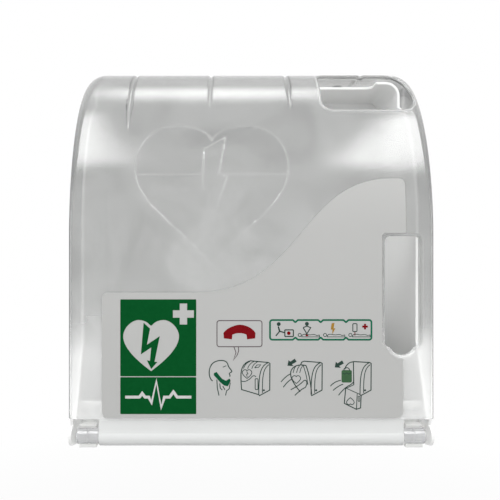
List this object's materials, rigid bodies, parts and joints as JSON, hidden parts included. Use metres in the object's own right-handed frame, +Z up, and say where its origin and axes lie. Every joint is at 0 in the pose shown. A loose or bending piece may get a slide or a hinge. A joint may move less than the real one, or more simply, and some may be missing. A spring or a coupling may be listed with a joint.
{
  "type": "defibrillator wall cabinet",
  "caption": "Wall cabinet for a portable defibrillator: white moulded housing, clear curved cover that hinges down, finger slot, scalloped hand opening, instruction label and door alarm.",
  "frame": {"origin": "middle of the back face, in the plane of the wall", "axes": "+Y out of the back into the wall, +Z up along the height, +X to the right of someone facing the cover, which looks along -Y"},
  "size_m": [0.388, 0.2016, 0.429],
  "materials": {
    "clear_plastic": "clear moulded polycarbonate, polished, faint grey tint",
    "housing_plastic": "white moulded plastic, fine satin grain",
    "fitting_plastic": "pale grey nylon, satin",
    "label_film": "light grey printed vinyl film, satin",
    "dark_rubber": "dark ribbed rubber",
    "zinc_screw": "zinc plated",
    "magnet_alloy": "nickel plated",
    "board_laminate": "green solder mask over glass laminate",
    "black_plastic": "black moulded plastic, satin",
    "lens_red": "translucent red, polished",
    "battery_sleeve": "printed metal jacket, satin",
    "wire_sheath": "light grey soft sheath"
  },
  "bodies": {
    "housing": {"rear_housing": "housing_plastic", "wall_cap_1": "housing_plastic", "wall_cap_2": "housing_plastic", "wall_cap_3": "housing_plastic", "wall_cap_4": "housing_plastic", "cover_bumper_left": "dark_rubber", "cover_bumper_right": "dark_rubber", "hinge_clip_left": "fitting_plastic", "hinge_clip_right": "fitting_plastic", "hinge_screw_1": "zinc_screw", "hinge_screw_2": "zinc_screw", "hinge_screw_3": "zinc_screw", "hinge_screw_4": "zinc_screw", "device_shelf": "housing_plastic", "shelf_screw_1": "zinc_screw", "shelf_screw_2": "zinc_screw", "shelf_screw_3": "zinc_screw", "shelf_screw_4": "zinc_screw", "shelf_pad": "dark_rubber", "alarm_base": "fitting_plastic", "alarm_lid": "housing_plastic", "lid_screw_1": "zinc_screw", "lid_screw_2": "zinc_screw", "battery_pack": "battery_sleeve", "alarm_board": "board_laminate", "siren": "black_plastic", "indicator_lens": "lens_red", "reed_sensor": "housing_plastic", "sensor_wire": "wire_sheath", "wire_clip_1": "fitting_plastic", "wire_clip_2": "fitting_plastic"},
    "cover": {"clear_cover": "clear_plastic", "pivot_left": "clear_plastic", "pivot_right": "clear_plastic", "instruction_label": "label_film", "magnet_holder": "housing_plastic", "sensor_magnet": "magnet_alloy"},
    "door": {"battery_door": "housing_plastic"},
    "switch": {"arming_switch": "black_plastic"}
  },
  "joints": [
    {"name": "cover_hinge", "type": "hinge", "parent": "housing", "child": "cover", "pos_m": [0, -0.1905, -0.201], "axis": [1, 0, 0], "range_deg": [0, 180]},
    {"name": "battery_door_slide", "type": "slide", "parent": "housing", "child": "door", "axis": [1, 0, 0], "range_m": [0, 0.034]},
    {"name": "arming_switch_slide", "type": "slide", "parent": "housing", "child": "switch", "axis": [1, 0, 0], "range_m": [0, 0.004]}
  ]
}
